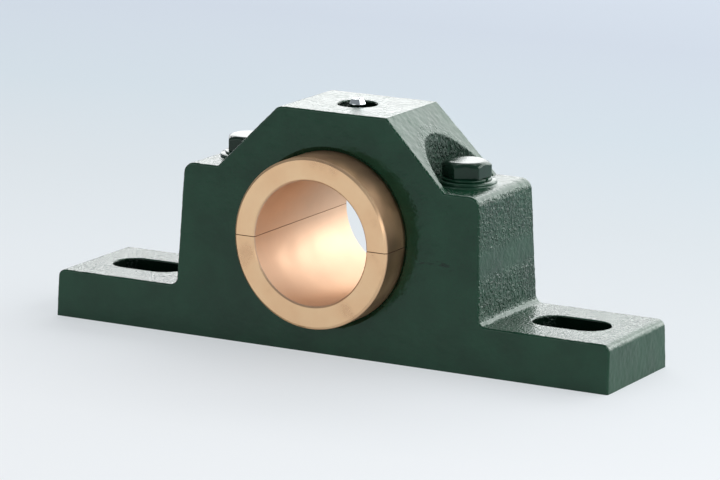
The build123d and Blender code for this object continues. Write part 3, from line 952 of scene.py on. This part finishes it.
# %% The bolt shanks
SHANK_RADIUS = 5.95 * MM
for side, sign in SIDES:
    values = {"Radius": SHANK_RADIUS, "Length": HEAD_UNDERSIDE - BOLT_LOW.z}
    blank = bpy.data.meshes.new("blank")
    piece = run_tree(f"cap_bolt_{side}_shank", blank, screw_thread, values, plain_steel)
    middle = Vector((sign * BOLT_X, 0, (HEAD_UNDERSIDE + BOLT_LOW.z) / 2))
    piece.data.transform(Matrix.Translation(middle))
    piece.data.shade_smooth()
    piece.data.set_sharp_from_angle(angle=math.radians(50))
    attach(piece, "housing")
    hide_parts(f"cap_bolt_{side}")
    print(piece.name, len(piece.data.polygons), "faces")

# %% [markdown]
# ## Washers and the paint at their feet
# The CAD washers have small chamfers. Paint makes those round, and it stands in the corner
# between each flat washer and its shoulder as a thin hollow fillet. A bevel with three segments
# rounds what is there, and the fillet is a small profile turned round the bolt.

# %% Rounded washers
for side, _ in SIDES:
    for kind, width in (("flat", 0.28 * MM), ("spring", 0.22 * MM)):
        node_name = f"{kind}_washer_{side}"
        bm = joined_flats(node_name)
        bends = [e for e in bm.edges if len(e.link_faces) == 2
                 and math.radians(30) < e.calc_face_angle() < math.radians(60)]
        bmesh.ops.bevel(bm, geom=bends, offset=width, segments=3, affect="EDGES",
                        clamp_overlap=True)
        piece = finished_piece(node_name + "_painted", bm, washer_enamel, node_name,
                               angle=40)
        print(piece.name, len(piece.data.polygons), "faces")

# %% The paint fillets
FILLET_PROFILE = ((-0.30, -0.05), (-0.30, 0.55), (0.02, 0.50), (0.10, 0.25), (0.28, 0.10),
                  (0.60, 0.02), (0.70, -0.05))     # mm out from the rim and up from the shoulder
FILLET_STEPS = 96
for side, sign in SIDES:
    bm = bmesh.new()
    angles = [2 * math.pi * k / FILLET_STEPS for k in range(FILLET_STEPS)]
    loops = []
    for out_by, up_by in FILLET_PROFILE:
        radius, z = WASHER_RADIUS + out_by * MM, SHOULDER_Z + up_by * MM
        loops.append([bm.verts.new((sign * BOLT_X + radius * math.cos(a), radius * math.sin(a), z))
                      for a in angles])
    for low, high in zip(loops, loops[1:] + loops[:1]):
        for k in range(FILLET_STEPS):
            after = (k + 1) % FILLET_STEPS
            bm.faces.new((low[k], low[after], high[after], high[k]))
    piece = finished_piece(f"washer_paint_{side}", bm, washer_enamel, f"flat_washer_{side}",
                           angle=40)
    print(piece.name, len(piece.data.polygons), "faces")

# %% [markdown]
# ## The nipple's head
# A gun's jaws slide over a plain cone and snap under it. The CAD head bulges there, for it is
# one arc; its rings of vertices are drawn in onto the straight line between the arc's ends.

# %% A cone for the head
HEAD_ROUND = 1.9 * MM
TOP_RADIUS, BAND_RADIUS = 2.3 * MM, 3.25 * MM
bm = merged_copy("grease_nipple_body")
drawn_in = 0
for vert in bm.verts:
    down = NIPPLE_HIGH.z - vert.co.z
    radius = math.hypot(vert.co.x, vert.co.y)
    if 0.01 * MM < down < HEAD_ROUND and radius > TOP_RADIUS:
        cone = TOP_RADIUS + (BAND_RADIUS - TOP_RADIUS) * down / HEAD_ROUND
        if cone < radius:
            vert.co.x *= cone / radius
            vert.co.y *= cone / radius
            drawn_in += 1
piece = finished_piece("grease_nipple_turned", bm, zinc_plate, "grease_nipple_body",
                       angle=25)
print("drawn in", drawn_in, "vertices of", len(piece.data.vertices))

# %% [markdown]
# ## The nipple's spring
# It is a round wire wound in a coil, so a tree sweeps a circle along a spiral curve. Its foot
# stands on the crimp.


# %% The spring tree
def spring_tree():
    sizes = {
        "Wire Radius": ("NodeSocketFloat", 0.15 * MM),
        "Coil Radius": ("NodeSocketFloat", 0.8 * MM),
        "Height": ("NodeSocketFloat", 10 * MM),
        "Turns": ("NodeSocketFloat", 9.0),
    }
    tree, size = new_tree("wire_spring", sizes)
    spiral = add_node(tree, "GeometryNodeCurveSpiral", {
        "Resolution": 20, "Rotations": size["Turns"], "Start Radius": size["Coil Radius"],
        "End Radius": size["Coil Radius"], "Height": size["Height"]})
    ring = add_node(tree, "GeometryNodeCurvePrimitiveCircle", {
        "Resolution": 8, "Radius": size["Wire Radius"]})
    wire = add_node(tree, "GeometryNodeCurveToMesh", {
        "Curve": spiral.outputs[0], "Profile Curve": ring.outputs[0], "Fill Caps": True})
    return end_tree(tree, wire.outputs[0], size["Finish"])


# %% The spring
WIRE_RADIUS = 0.15 * MM
coil_height = SPRING_HIGH.z - SPRING_LOW.z - 2 * WIRE_RADIUS
coil_radius = (SPRING_HIGH.x - SPRING_LOW.x) / 2 - WIRE_RADIUS
spring = run_tree("nipple_spring_wire", bpy.data.meshes.new("blank"), spring_tree(),
                  {"Height": coil_height, "Coil Radius": coil_radius}, plain_steel)
spring.data.transform(Matrix.Translation((0, 0, SPRING_LOW.z + WIRE_RADIUS)))
spring.data.shade_smooth()
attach(spring, "housing")
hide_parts("nipple_spring")
press = next(j for j in frame["joints"] if j["name"] == "check_ball_press")
print("spring from", SPRING_LOW.z / MM, "to", SPRING_HIGH.z / MM, "joint", dict(press))
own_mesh(spring)
